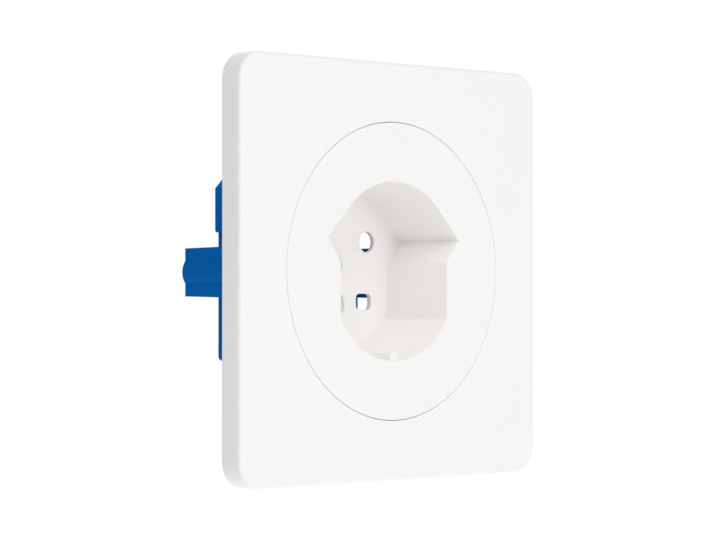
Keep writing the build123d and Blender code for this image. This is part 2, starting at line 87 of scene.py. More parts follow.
class NodeSheet:
    """The node tree of a material or of the world, put together with short calls."""

    # Numbers of a mix node's colour sockets
    FIRST_COLOUR, SECOND_COLOUR, MIXED_COLOUR = 6, 7, 2

    def __init__(self, owner: bpy.types.Material | bpy.types.World) -> None:
        """Empties the owner's node tree.

        Args:
            owner: The material or the world.
        """
        owner.use_nodes = True
        self.tree = owner.node_tree
        self.tree.nodes.clear()

    def add(
        self, kind: str, values: dict[str | int, object] | None = None, **settings: object
    ) -> bpy.types.Node:
        """Adds a node, sets its inputs and links those that are given as sockets.

        Args:
            kind: The node type's name.
            values: A value, or a socket to link from, by the input's name or number.
            settings: The node's own settings by name.

        Returns:
            The new node.
        """
        node = self.tree.nodes.new(kind)
        for key, value in settings.items():
            setattr(node, key, value)
        for key, value in (values or {}).items():
            if isinstance(value, bpy.types.NodeSocket):
                self.tree.links.new(value, node.inputs[key])
            else:
                node.inputs[key].default_value = value
        return node

    def noise(self, place: Socket, scale: float, detail: float) -> Socket:
        """Adds noise over the object's own coordinates.

        Args:
            place: The coordinates that the noise is read at.
            scale: Features per metre.
            detail: Number of finer octaves.

        Returns:
            The noise value's socket, about 0.5 on average.
        """
        values = {"Vector": place, "Scale": scale, "Detail": detail}
        return self.add("ShaderNodeTexNoise", values).outputs["Fac"]

    def spread(self, value: Socket, low: float, high: float, contrast: float = 0.3) -> Socket:
        """Maps noise round its middle to a range.

        Args:
            value: The noise.
            low: The result at the noise's low end.
            high: The result at its high end.
            contrast: Width of the noise's range round 0.5 that is used.

        Returns:
            The mapped value's socket.
        """
        used = {"From Min": 0.5 - contrast / 2, "From Max": 0.5 + contrast / 2}
        values = {"Value": value, **used, "To Min": low, "To Max": high}
        return self.add("ShaderNodeMapRange", values).outputs["Result"]

    def blend(self, value: Socket, first: Socket | Colour, second: Colour) -> Socket:
        """Mixes two colours by a value.

        Args:
            value: 0 gives the first colour and 1 the second.
            first: Linear RGB, or the socket of a colour.
            second: Linear RGB.

        Returns:
            The mixed colour's socket.
        """
        start = (*first, 1.0) if isinstance(first, tuple) else first
        colours = {self.FIRST_COLOUR: start, self.SECOND_COLOUR: (*second, 1.0)}
        node = self.add("ShaderNodeMix", {"Factor": value, **colours}, data_type="RGBA")
        return node.outputs[self.MIXED_COLOUR]

    def bump(self, height: Socket, depth: float, normal: Socket | None = None) -> Socket:
        """Raises the surface by a height times a depth.

        Args:
            height: The height, from 0 to 1.
            depth: The rise at height 1.
            normal: The normal that is bent, or none for the surface's own.

        Returns:
            The bent normal's socket.
        """
        values = {"Strength": 1.0, "Distance": depth, "Height": height}
        if normal is not None:
            values["Normal"] = normal
        return self.add("ShaderNodeBump", values).outputs["Normal"]

    def painted_shade_share(self, reach: float, open_level: float, shut_level: float, samples: int = 8) -> Socket:
        """Tells how far a place is shut in by the piece's own walls.

        Args:
            reach: How near a wall must be to count.
            open_level: Share of free directions that still counts as open.
            shut_level: Share of free directions that counts as shut.
            samples: Number of directions that are looked in.

        Returns:
            The socket of a value from 0, open, to 1, shut.
        """
        # The share drives painted shade: places shut in by the piece's own walls are coloured
        # darker
        around = self.add(
            "ShaderNodeAmbientOcclusion", {"Distance": reach}, samples=samples, only_local=True
        )
        values = {"Value": around.outputs["AO"], "From Min": open_level, "From Max": shut_level}
        return self.add("ShaderNodeMapRange", values).outputs["Result"]


@dataclass(frozen=True, kw_only=True)
class MouldedPlastic:
    """A moulded plastic: a faint drift of colour, a spark-eroded grain and uneven gloss.

    Scales are features per metre. An inner colour starts at a depth along Y and is reached over a
    run; it is painted light, lighter than the face, so the recess looks more brightly lit.
    A corner colour is painted shade, reached where the piece's own walls shut a place in.
    """

    name: str
    colour: Colour
    drift: Colour
    roughness: float
    gloss_swing: float = 0.04
    grain_scale: float
    grain_depth: float = 1.2 * MICRON
    ripple_scale: float
    ripple_depth: float = 3.0 * MICRON
    edge_radius: float = 0.2 * MM
    shine: float = 0.45
    # Painted light: a lighter colour inside the recess behind the face, so the recess looks more
    # brightly lit
    inner: Colour | None = None
    painted_light_start: float = -5.35 * MM
    painted_light_run: float = 0.6 * MM
    # Painted shade: a darker, warmer colour in corners that the piece's own walls shut in
    corner: Colour | None = None
    painted_shade_reach: float = 4.5 * MM
    painted_shade_open: float = 0.75
    painted_shade_shut: float = 0.3
    drift_scale: float = 38.0
    drift_detail: float = 3.0
    ripple_detail: float = 4.0
    grain_detail: float = 2.0
    edge_samples: int = 6
    refraction: float = 1.5

    def paint(self) -> bpy.types.Material:
        """Makes the material.

        Returns:
            The node material.
        """
        material = bpy.data.materials.new(self.name)
        sheet = NodeSheet(material)
        place = sheet.add("ShaderNodeTexCoord").outputs["Object"]
        gloss = sheet.noise(place, self.ripple_scale, self.ripple_detail)
        low, high = self.roughness - self.gloss_swing, self.roughness + self.gloss_swing
        edge = sheet.add("ShaderNodeBevel", {"Radius": self.edge_radius}, samples=self.edge_samples)
        ripple = sheet.bump(gloss, self.ripple_depth, edge.outputs["Normal"])
        grain = sheet.noise(place, self.grain_scale, self.grain_detail)
        shader = sheet.add("ShaderNodeBsdfPrincipled", {
            "Base Color": self.tint(sheet, place),
            "Roughness": sheet.spread(gloss, low, high),
            "IOR": self.refraction,
            "Specular IOR Level": self.shine,
            "Normal": sheet.bump(grain, self.grain_depth, ripple),
        })
        sheet.add("ShaderNodeOutputMaterial", {"Surface": shader.outputs["BSDF"]})
        return material

    def tint(self, sheet: NodeSheet, place: Socket) -> Socket:
        """Colours the plastic: the drift, the inner colour behind the face, which is painted light,
        and the painted shade in corners.

        Args:
            sheet: The material being made.
            place: The object's own coordinates.

        Returns:
            The colour's socket.
        """
        drift = sheet.spread(sheet.noise(place, self.drift_scale, self.drift_detail), 0.0, 1.0)
        colour = sheet.blend(drift, self.colour, self.drift)
        # Painted light: the colour turns lighter behind the face, deeper in the recess
        if self.inner is not None:
            parts = sheet.add("ShaderNodeSeparateXYZ", {"Vector": place})
            run = {"From Min": self.painted_light_start, "From Max": self.painted_light_start + self.painted_light_run}
            depth = sheet.add(
                "ShaderNodeMapRange",
                {"Value": parts.outputs["Y"], **run},
                interpolation_type="SMOOTHSTEP",
            )
            colour = sheet.blend(depth.outputs["Result"], colour, self.inner)
        # Painted shade: darker and warmer where the piece's own walls shut a place in
        if self.corner is not None:
            share = sheet.painted_shade_share(self.painted_shade_reach, self.painted_shade_open, self.painted_shade_shut)
            colour = sheet.blend(share, colour, self.corner)
        return colour


@dataclass(frozen=True, kw_only=True)
class WorkedMetal:
    """A stamped or turned metal: drawn streaks, stains and a bright, slightly uneven gloss.

    Scales are features per metre; the streak has one for each axis.
    """

    name: str
    colour: Colour
    stain: Colour
    roughness: float
    gloss_swing: float = 0.08
    streak: Triple
    streak_depth: float
    streak_detail: float = 5.0
    stain_scale: float = 260.0
    stain_detail: float = 4.0
    stain_contrast: float = 0.5

    def paint(self) -> bpy.types.Material:
        """Makes the material.

        Returns:
            The node material.
        """
        material = bpy.data.materials.new(self.name)
        sheet = NodeSheet(material)
        place = sheet.add("ShaderNodeTexCoord").outputs["Object"]
        stain = sheet.noise(place, self.stain_scale, self.stain_detail)
        stain = sheet.spread(stain, 0.0, 1.0, self.stain_contrast)
        drawn = sheet.add("ShaderNodeMapping", {"Vector": place, "Scale": self.streak})
        streak = sheet.noise(drawn.outputs["Vector"], 1.0, self.streak_detail)
        low, high = self.roughness - self.gloss_swing, self.roughness + self.gloss_swing
        shader = sheet.add("ShaderNodeBsdfPrincipled", {
            "Base Color": sheet.blend(stain, self.colour, self.stain),
            "Metallic": 1.0,
            "Roughness": sheet.spread(streak, low, high),
            "Normal": sheet.bump(streak, self.streak_depth),
        })
        sheet.add("ShaderNodeOutputMaterial", {"Surface": shader.outputs["BSDF"]})
        return material


FINISHES: dict[Finish, MouldedPlastic | WorkedMetal] = {
    Finish.FRAME: MouldedPlastic(
        name="frame_white_plastic",
        colour=(0.945, 0.945, 0.943),
        drift=(0.952, 0.952, 0.951),
        roughness=0.36,
        grain_scale=5200.0,
        ripple_scale=650.0,
    ),
    Finish.INSERT: MouldedPlastic(
        name="insert_white_plastic",
        colour=(0.951, 0.943, 0.93),
        drift=(0.957, 0.95, 0.938),
        roughness=0.34,
        grain_scale=5600.0,
        ripple_scale=700.0,
        # Painted light: lighter inside the recess than on the face
        inner=(0.994, 0.98, 0.965),
        # Painted shade: darker and warmer in shut-in corners
        corner=(0.92, 0.865, 0.82),
    ),
    Finish.BASE: MouldedPlastic(
        name="base_blue_plastic",
        colour=(0.0, 0.137, 0.477),
        drift=(0.0005, 0.147, 0.502),
        roughness=0.42,
        gloss_swing=0.06,
        grain_scale=3800.0,
        grain_depth=4.0 * MICRON,
        ripple_scale=900.0,
        ripple_depth=5.0 * MICRON,
        edge_radius=0.25 * MM,
        shine=0.02,
    ),
    Finish.BRASS: WorkedMetal(
        name="contact_brass",
        colour=(0.72, 0.50, 0.21),
        stain=(0.62, 0.42, 0.17),
        roughness=0.28,
        streak=(900.0, 120.0, 900.0),
        streak_depth=2.5 * MICRON,
    ),
    Finish.STEEL: WorkedMetal(
        name="zinc_plated_steel",
        colour=(0.74, 0.745, 0.75),
        stain=(0.64, 0.65, 0.66),
        roughness=0.30,
        streak=(700.0, 160.0, 700.0),
        streak_depth=3.0 * MICRON,
    ),
}


@dataclass
class Palette:
    """The painted finishes, each made once."""

    painted: dict[Finish, bpy.types.Material]

    @classmethod
    def mixed(cls) -> "Palette":
        """Paints every finish."""
        return cls({finish: recipe.paint() for finish, recipe in FINISHES.items()})

    def coat(self, piece: bpy.types.Object, finish: Finish) -> None:
        """Gives a piece one finish.

        Args:
            piece: A mesh object.
            finish: The finish it takes.
        """
        piece.data.materials.clear()
        piece.data.materials.append(self.painted[finish])

    def fit(self, piece: bpy.types.Object, node: str, finish: Finish) -> None:
        """Coats a new piece and puts it in the place of a CAD node.

        Args:
            piece: The new piece.
            node: The node that it stands for.
            finish: The finish it takes.
        """
        self.coat(piece, finish)
        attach(piece, BODY)
        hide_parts(node)
        LOG.info("%s stands for %s, in %s", piece.name, node, finish.value)


class Skin:
    """A mesh that is gathered from patches, welded where they meet and shaded smooth."""

    WELD = 1e-7
    CREASE = math.radians(34.0)

    def __init__(self) -> None:
        """Starts with no patches."""
        self.vertices: list[np.ndarray] = []
        self.faces: list[np.ndarray] = []
        self.count = 0

    def patch(self, vertices: np.ndarray, faces: np.ndarray) -> None:
        """Adds vertices and the faces on them.

        Args:
            vertices: Points in metres, one row each.
            faces: Vertex numbers within this patch, one row a face.
        """
        self.vertices.append(vertices)
        self.faces.append(faces + self.count)
        self.count += len(vertices)

    def grid(
        self, points: np.ndarray, close_rows: bool = False, close_columns: bool = True
    ) -> None:
        """Adds a grid of points as four-sided faces between neighbouring rows and columns.

        Args:
            points: Rows by columns by 3.
            close_rows: Whether the last row joins the first.
            close_columns: Whether the last column joins the first.
        """
        rows, columns = points.shape[:2]
        number = np.arange(rows * columns).reshape(rows, columns)
        if close_rows:
            number = np.concatenate([number, number[:1]], axis=0)
        if close_columns:
            number = np.concatenate([number, number[:, :1]], axis=1)
        corners = [number[:-1, :-1], number[:-1, 1:], number[1:, 1:], number[1:, :-1]]
        self.patch(points.reshape(-1, 3), np.stack(corners, axis=-1).reshape(-1, 4))

    def flat(self, loops: list[np.ndarray]) -> None:
        """Fills a plane across Y between an outer loop and the holes in it.

        Args:
            loops: The outer loop and then the holes, points by 3, all at one depth.
        """
        rings = [np.insert(loop[:, [0, 2]], 2, 0.0, axis=1).tolist() for loop in loops]
        faces = np.array(tessellate_polygon(rings))
        self.patch(np.concatenate(loops), faces)

    def piece(self, name: str) -> bpy.types.Object:
        """Welds the patches into one object.

        Args:
            name: The object's name.

        Returns:
            The object, linked to the scene.
        """
        vertices = np.concatenate(self.vertices)
        faces = [face for block in self.faces for face in block.tolist()]
        mesh = bpy.data.meshes.new(name)
        mesh.from_pydata(vertices, [], faces)
        work = bmesh.new()
        work.from_mesh(mesh)
        bmesh.ops.remove_doubles(work, verts=work.verts, dist=self.WELD)
        bmesh.ops.dissolve_degenerate(work, dist=self.WELD, edges=work.edges)
        bmesh.ops.recalc_face_normals(work, faces=work.faces)
        work.to_mesh(mesh)
        work.free()
        mesh.polygons.foreach_set("use_smooth", np.ones(len(mesh.polygons), dtype=bool))
        mesh.set_sharp_from_angle(angle=self.CREASE)
        item = bpy.data.objects.new(name, mesh)
        bpy.context.scene.collection.objects.link(item)
        return item


def span(first: np.ndarray, last: np.ndarray, steps: int) -> np.ndarray:
    """Straight blend between two rows of points: first * (1 - t) + last * t.

    Args:
        first: The row at t = 0.
        last: The row at t = 1.
        steps: Number of rows, both ends among them.

    Returns:
        Steps by columns by 3.
    """
    share = np.linspace(0.0, 1.0, steps)[:, None, None]
    return first[None] * (1.0 - share) + last[None] * share


def at_depth(across: np.ndarray, depth: np.ndarray | float) -> np.ndarray:
    """Sets points of the XZ plane at a depth along Y.

    Args:
        across: Points by 2, X and Z.
        depth: One Y for all points, or one for each.

    Returns:
        Points by 3.
    """
    y = np.broadcast_to(np.asarray(depth, dtype=float), across.shape[:1])
    return np.stack([across[:, 0], y, across[:, 1]], axis=-1)


def circle(radius: float, angles: np.ndarray, middle: Pair = (0.0, 0.0)) -> np.ndarray:
    """Points of a circle in the XZ plane: middle + radius * (cos, sin).

    Args:
        radius: The radius.
        angles: One angle for each point.
        middle: The centre's X and Z.

    Returns:
        Points by 2.
    """
    x, z = middle[0] + radius * np.cos(angles), middle[1] + radius * np.sin(angles)
    return np.stack([x, z], axis=-1)


def whole_turn(steps: int) -> np.ndarray:
    """Angles that go once round: 2 pi * k / steps."""
    return np.linspace(0.0, 2 * np.pi, steps, endpoint=False)


def quarter(radius: float, steps: int) -> np.ndarray:
    """A quarter round: 1 - cos and sin of an angle from 0 to 90 degrees, times the radius.

    Args:
        radius: The round's radius.
        steps: Number of points.

    Returns:
        The inset and the rise, points by 2.
    """
    turn = np.linspace(0.0, np.pi / 2, steps)
    return np.stack([radius * (1.0 - np.cos(turn)), radius * np.sin(turn)], axis=-1)


def mitre(before: np.ndarray, after: np.ndarray) -> np.ndarray:
    """The way of a mitred corner: (n1 + n2) / (1 + n1 . n2), which keeps both sides parallel."""
    return (before + after) / (1.0 + before @ after)


@dataclass(frozen=True)
class Softbox:
    """A square lamp that looks at the socket."""

    name: str
    place: Triple
    power: float
    size: float = 0.9

    def hang(self) -> None:
        """Adds the lamp, turned so that it looks at the origin and kept out of mirror images."""
        lamp = bpy.data.lights.new(self.name, "AREA")
        lamp.energy = self.power
        lamp.size = self.size
        piece = bpy.data.objects.new(self.name, lamp)
        piece.location = self.place
        piece.rotation_euler = (-Vector(self.place)).to_track_quat("-Z", "Y").to_euler()
        piece.visible_glossy = False
        bpy.context.scene.collection.objects.link(piece)


@dataclass
class Studio:
    """White surroundings, a pale floor below the socket, soft lamps and the camera."""

    floor_drop: float = 0.20
    floor_radius: float = 0.75
    floor_colour: Colour = (0.9, 0.9, 0.9)
    floor_glow: float = 0.39
    floor_lift: float = 0.3
    floor_rings: int = 12
    floor_spokes: int = 96
    fill: float = 0.295
    lamps: tuple[Softbox, ...] = (
        Softbox("front_softbox", (-0.10, -1.25, 0.0), 2.75),
        Softbox("left_softbox", (-0.60, -0.85, 0.75), 4.85),
        Softbox("right_softbox", (0.90, -0.90, 0.0), 1.35),
        Softbox("top_softbox", (-0.30, -0.40, 1.10), 3.4),
        Softbox("rear_softbox", (0.45, 1.10, 0.50), 4.0),
    )
    camera_place: Triple = (-0.39212349, -0.39050790, -0.00563721)
    camera_turn: Triple = (90.614319, 0.0, -44.711547)
    lens_mm: float = 134.225
    sensor_mm: float = 36.0
    clip_start: float = 0.01

    def light(self) -> None:
        """Lights the room: an even world that looks white to the eye, and the lamps."""
        world = bpy.data.worlds.new("white_room")
        bpy.context.scene.world = world
        sheet = NodeSheet(world)
        path = sheet.add("ShaderNodeLightPath").outputs
        seen = path["Is Camera Ray"]
        for ray in ("Is Glossy Ray", "Is Transmission Ray"):
            either = sheet.add("ShaderNodeMath", {0: seen, 1: path[ray]}, operation="MAXIMUM")
            seen = either.outputs[0]
        given = sheet.add("ShaderNodeBackground", {"Color": WHITE, "Strength": self.fill})
        shown = sheet.add("ShaderNodeBackground", {"Color": WHITE, "Strength": 1.0})
        shaders = {1: given.outputs[0], 2: shown.outputs[0]}
        mix = sheet.add("ShaderNodeMixShader", {"Fac": seen, **shaders})
        sheet.add("ShaderNodeOutputWorld", {"Surface": mix.outputs[0]})
        for lamp in self.lamps:
            lamp.hang()

    def floor(self) -> bpy.types.Object:
        """Lays a round pale floor, a polar grid of radius and angle, below the socket.

        Returns:
            The floor.
        """
        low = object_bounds()[0][2] - self.floor_drop
        radius = np.linspace(0.0, self.floor_radius, self.floor_rings)[:, None]
        angle = whole_turn(self.floor_spokes)[None, :]
        level = np.full_like(radius * angle, low)
        skin = Skin()
        skin.grid(np.stack([radius * np.cos(angle), radius * np.sin(angle), level], axis=-1))
        piece = skin.piece("floor")
        piece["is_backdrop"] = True
        return piece

    def dress(self, piece: bpy.types.Object) -> None:
        """Gives the floor its pale finish: it glows like a lit table, a little less to the eye.

        Args:
            piece: The floor.
        """
        material = bpy.data.materials.new("pale_floor")
        sheet = NodeSheet(material)
        path = sheet.add("ShaderNodeLightPath").outputs
        levels = {"To Min": self.floor_glow, "To Max": self.floor_lift}
        weight = sheet.add("ShaderNodeMapRange", {"Value": path["Is Camera Ray"], **levels})
        paint = sheet.add("ShaderNodeBsdfDiffuse", {"Color": (*self.floor_colour, 1.0)})
        glow = sheet.add("ShaderNodeEmission", {"Strength": weight.outputs["Result"]})
        total = sheet.add("ShaderNodeAddShader", {0: paint.outputs[0], 1: glow.outputs[0]})
        sheet.add("ShaderNodeOutputMaterial", {"Surface": total.outputs[0]})
        piece.data.materials.append(material)

    def camera(self) -> None:
        """Sets the camera where the photograph was taken from."""
        data = bpy.data.cameras.new("camera")
        data.sensor_width = self.sensor_mm
        data.lens = self.lens_mm
        data.clip_start = self.clip_start
        piece = bpy.data.objects.new("camera", data)
        piece.location = self.camera_place
        piece.rotation_euler = tuple(math.radians(angle) for angle in self.camera_turn)
        bpy.context.scene.collection.objects.link(piece)
        bpy.context.scene.camera = piece


@dataclass
class CoverFrame:
    """The square cover frame: one closed section carried round, from rounded square to circle.

    Opening, ledge and collar are radii; face, rim and plate are depths from the front or the wall.
    """

    half_side: float = 43.0 * MM
    depth: float = 5.4 * MM
    corner: float = 5.5 * MM
    edge: float = 1.0 * MM
    wall: float = 2.0 * MM
    face: float = 2.0 * MM
    opening: float = 30.75 * MM
    joint_round: float = 0.10 * MM
    rim: float = 2.0 * MM
    ledge: float = 28.2 * MM
    collar: float = 32.55 * MM
    plate: float = 1.6 * MM
    notch_half: float = 5.0 * MM
    notch_middle: float = 30.0 * MM
    notch_web: float = 0.5 * MM
    notch_hair: float = 1e-7
    # Number of points along each run of the outline and of the section
    corner_steps: int = 17
    side_steps: int = 33
    wall_steps: int = 5
    edge_steps: int = 13
    face_steps: int = 16
    joint_steps: int = 6
    opening_steps: int = 4
    rear_steps: int = 8

    def outline(self) -> tuple[np.ndarray, np.ndarray]:
        """The rounded square: centre + (corner - inset) * normal is the outline moved in.

        A corner's centre stands still while its normal turns by 90 degrees; along a side the
        centre runs and the normal stays. At a notch's edges a side has two columns a hair apart,
        so that the notch's sides are upright.

        Returns:
            Centres and outward normals, each points by 2.
        """
        reach = self.half_side - self.corner
        foot = math.sqrt(self.notch_middle**2 - self.notch_half**2)
        notch = self.half_side * self.notch_half / foot
        near = np.array([notch * (1.0 - self.notch_hair), notch * (1.0 + self.notch_hair)])
        even = np.linspace(-reach, reach, self.side_steps)[1:-1]
        along = np.sort(np.concatenate([even, near, -near]))
        side = np.stack([np.full_like(along, reach), along], axis=-1)
        facing = np.tile([1.0, 0.0], (len(along), 1))
        bend = np.tile([reach, reach], (self.corner_steps, 1))
        around = circle(1.0, np.linspace(0.0, np.pi / 2, self.corner_steps))
        centres, normals = [], []
        for spin in np.arange(4) * np.pi / 2:
            cos, sin = math.cos(spin), math.sin(spin)
            turn = np.array([[cos, sin], [-sin, cos]])
            centres.append(np.concatenate([side, bend]) @ turn)
            normals.append(np.concatenate([facing, around]) @ turn)
        return np.concatenate(centres), np.concatenate(normals)

    def build(self) -> bpy.types.Object:
        """Carries the section round: wall, rounded edge, face, opening, ledge, collar, hollow rear.

        The face is a straight blend from the rounded square to the circle at the same polar angle.

        Returns:
            The frame piece.
        """
        centres, normals = self.outline()
        outside = centres + self.corner * normals
        angles = np.arctan2(outside[:, 1], outside[:, 0])
        front, step = -self.depth, self.rim - self.depth
        back = self.face - self.depth
        limit = math.asin(self.notch_half / self.notch_middle)
        in_notch = np.abs(np.abs(angles) - np.pi / 2) < limit
        rear = np.where(in_notch, step + self.notch_web, -self.plate)

        def square(inset: float, depth: float) -> np.ndarray:
            """The square outline moved in, at a depth."""
            return at_depth(centres + (self.corner - inset) * normals, depth)

        def ring(radius: float, depth: np.ndarray | float) -> np.ndarray:
            """A circle at the outline's polar angles, at a depth."""
            return at_depth(circle(radius, angles), depth)

        edge = quarter(self.edge, self.edge_steps)
        bend = np.stack([square(i, front + self.edge - r) for i, r in edge])
        mouth = self.opening + self.joint_round
        joint = quarter(self.joint_round, self.joint_steps)
        lip = np.stack([ring(mouth - r, front + i) for i, r in joint])
        rows = [
            span(square(0.0, 0.0), square(0.0, front + self.edge), self.wall_steps)[:-1],
            bend,
            span(bend[-1], lip[0], self.face_steps)[1:-1],
            lip,
            span(lip[-1], ring(self.opening, step), self.opening_steps)[1:],
            ring(self.ledge, step)[None],
            ring(self.ledge, rear)[None],
            ring(self.collar, rear)[None],
            span(ring(self.collar, back), square(self.wall, back), self.rear_steps),
            square(self.wall, 0.0)[None],
        ]
        skin = Skin()
        skin.grid(np.concatenate(rows), close_rows=True)
        return skin.piece("frame_moulding")

    def dress(self, piece: bpy.types.Object, palette: Palette) -> None:
        """Gives the frame its white plastic and puts it in the place of its node."""
        palette.fit(piece, "cover_frame", Finish.FRAME)


class Trace:
    """An outline gathered run by run: its points, and the way each moves when it grows."""

    def __init__(self, fan_steps: int) -> None:
        """Starts an empty outline.

        Args:
            fan_steps: Points of a corner that fans out, or 1 for mitred corners.
        """
        self.fan_steps = fan_steps
        self.points: list[np.ndarray] = []
        self.ways: list[np.ndarray] = []

    def add(self, points: np.ndarray, ways: np.ndarray) -> None:
        """Adds points and their ways, each points by 2."""
        self.points.append(points)
        self.ways.append(ways)

    def corner(self, place: np.ndarray, before: np.ndarray, after: np.ndarray) -> None:
        """Adds a corner: a fan of n1 * (1 - t) + n2 * t brought to length 1, or one mitre.

        Args:
            place: The corner's point.
            before: The normal n1 of the side that ends here.
            after: The normal n2 of the side that begins here.
        """
        if self.fan_steps > 1:
            share = np.linspace(0.0, 1.0, self.fan_steps)[:, None]
            fan = before * (1.0 - share) + after * share
            fan /= np.linalg.norm(fan, axis=1, keepdims=True)
        else:
            fan = mitre(before, after)[None]
        self.add(np.tile(place, (len(fan), 1)), fan)

    def straight(self, start: np.ndarray, stop: np.ndarray, out: np.ndarray, steps: int) -> None:
        """Adds the inner points of a straight run: start * (1 - t) + stop * t.

        Args:
            start: The run's first point, which is not added.
            stop: Its last point, which is not added.
            out: The run's normal.
            steps: Number of points, both ends among them.
        """
        share = np.linspace(0.0, 1.0, steps)[1:-1, None]
        self.add(start * (1.0 - share) + stop * share, np.tile(out, (steps - 2, 1)))

    def joined(self) -> tuple[np.ndarray, np.ndarray]:
        """All points and all ways, each points by 2."""
        return np.concatenate(self.points), np.concatenate(self.ways)


@dataclass
class FrontInsert:
    """The round insert: a disc, the shaped recess in it, the pin openings and the cup behind.

    Pins and screw are placed by X and Z. Recess, pin, screw_hole, screw_sink and seat are radii,
    and the tip is given by its distance from the axis and its angle in degrees.
    """

    radius: float = 30.62 * MM
    front: float = -5.4 * MM
    rim: float = 2.0 * MM
    joint_round: float = 0.10 * MM
    recess: float = 18.4 * MM
    recess_depth: float = 17.9 * MM
    flat: float = 15.5 * MM
    shoulder: float = 2.0 * MM
    tip_reach: float = 20.21 * MM
    tip_angle: float = 19.06
    wall: float = 1.3 * MM
    floor: float = 1.1 * MM
    seat_height: float = 1.0 * MM
    seat: float = 4.4 * MM
    mouth_round: float = 0.3 * MM
    floor_round: float = 0.5 * MM
    shoulder_round: float = 0.5 * MM
    cup_round: float = 0.3 * MM
    pin: float = 2.2 * MM
    pin_lead: float = 0.1 * MM
    pin_lead_power: float = 1.35
    round_pins: tuple[Pair, ...] = ((-9.5 * MM, 6.4 * MM), (9.5 * MM, 6.4 * MM), (0.0, 1.5 * MM))
    flat_pins: tuple[Pair, ...] = ((-8.5 * MM, -6.3 * MM), (8.5 * MM, -6.3 * MM))
    slot_half: Pair = (2.2 * MM, 1.7 * MM)
    slot_corner: float = 1.0 * MM
    slot_lead: float = 0.15 * MM
    screw: Pair = (0.0, -6.75 * MM)
    screw_hole: float = 1.95 * MM
    screw_sink: float = 2.9 * MM
    key_half: float = 0.975 * MM
    key_height: float = 1.65 * MM
    key_setback: float = 0.3 * MM
    key_round: float = 0.3 * MM
    key_shrink: Pair = (1.0, 0.35)
    # Number of points along each run of the outline and of the section
    bottom_steps: int = 44
    flat_steps: int = 26
    shoulder_steps: int = 9
    slope_steps: int = 12
    tangent_steps: int = 18
    top_steps: int = 34
    fan_steps: int = 9
    rim_steps: int = 4
    joint_steps: int = 6
    face_steps: int = 14
    mouth_steps: int = 8
    wall_steps: int = 12
    floor_steps: int = 9
    cup_round_steps: int = 6
    cup_steps: int = 8
    pin_steps: int = 56
    pin_lead_steps: int = 9
    slot_corner_steps: int = 11
    slot_lead_steps: int = 6
    screw_steps: int = 64
    key_corner_steps: int = 6
    key_end_steps: int = 5

    @property
    def bottom(self) -> float:
        """The depth of the recess floor along Y."""
        return self.front + self.recess_depth

    def half_outline(self, outside: bool) -> tuple[np.ndarray, np.ndarray]:
        """The right half of the recess outline, from the bottom round to the top.

        A round bottom, a flat, a shoulder, the slope out to the tip, the tangent from the tip to
        the circle, and the round top.

        Args:
            outside: Whether it is for the cup's outside, with a sharp shoulder and fanned corners.

        Returns:
            Points and the ways that they move when the outline grows, each points by 2.
        """
        tip_turn = math.radians(self.tip_angle)
        tip = self.tip_reach * np.array([math.cos(tip_turn), math.sin(tip_turn)])
        touch = tip_turn + math.acos(self.recess / self.tip_reach)
        flat_turn = -math.acos(self.flat / self.recess)
        elbow = np.array([self.flat, self.shoulder])
        slope = (tip - elbow) / np.linalg.norm(tip - elbow)
        slope_out = np.array([slope[1], -slope[0]])
        side_out = np.array([1.0, 0.0])
        low_out = np.array([math.cos(flat_turn), math.sin(flat_turn)])
        high_out = np.array([math.cos(touch), math.sin(touch)])
        heel, crown = self.recess * low_out, self.recess * high_out
        bend = math.atan2(slope[0], slope[1])
        set_off = 0.0 if outside else self.shoulder_round * math.tan(bend / 2)
        below, above = elbow - np.array([0.0, set_off]), elbow + set_off * slope
        low_round = circle(1.0, np.linspace(-np.pi / 2, flat_turn, self.bottom_steps))[:-1]
        high_round = circle(1.0, np.linspace(touch, np.pi / 2, self.top_steps))
        trace = Trace(self.fan_steps if outside else 1)
        trace.add(self.recess * low_round, low_round)
        trace.corner(heel, low_out, side_out)
        trace.straight(heel, below, side_out, self.flat_steps)
        if outside:
            trace.add(elbow[None], mitre(side_out, slope_out)[None])
        else:
            fan = circle(1.0, np.linspace(0.0, -bend, self.shoulder_steps))
            hub = below + self.shoulder_round * side_out
            trace.add(hub - self.shoulder_round * fan, fan)
        trace.straight(above, tip, slope_out, self.slope_steps)
        trace.corner(tip, slope_out, high_out)
        trace.straight(tip, crown, high_out, self.tangent_steps)
        trace.add(self.recess * high_round, high_round)
        return trace.joined()

    def outline(self, outside: bool) -> tuple[np.ndarray, np.ndarray]:
        """The whole recess outline: the right half and its mirror image.

        Args:
            outside: As for the half outline.

        Returns:
            Points and ways, each points by 2, going round once.
        """
        points, ways = self.half_outline(outside)
        flip = np.array([-1.0, 1.0])
        return (
            np.concatenate([points, (points * flip)[-2:0:-1]]),
            np.concatenate([ways, (ways * flip)[-2:0:-1]]),
        )

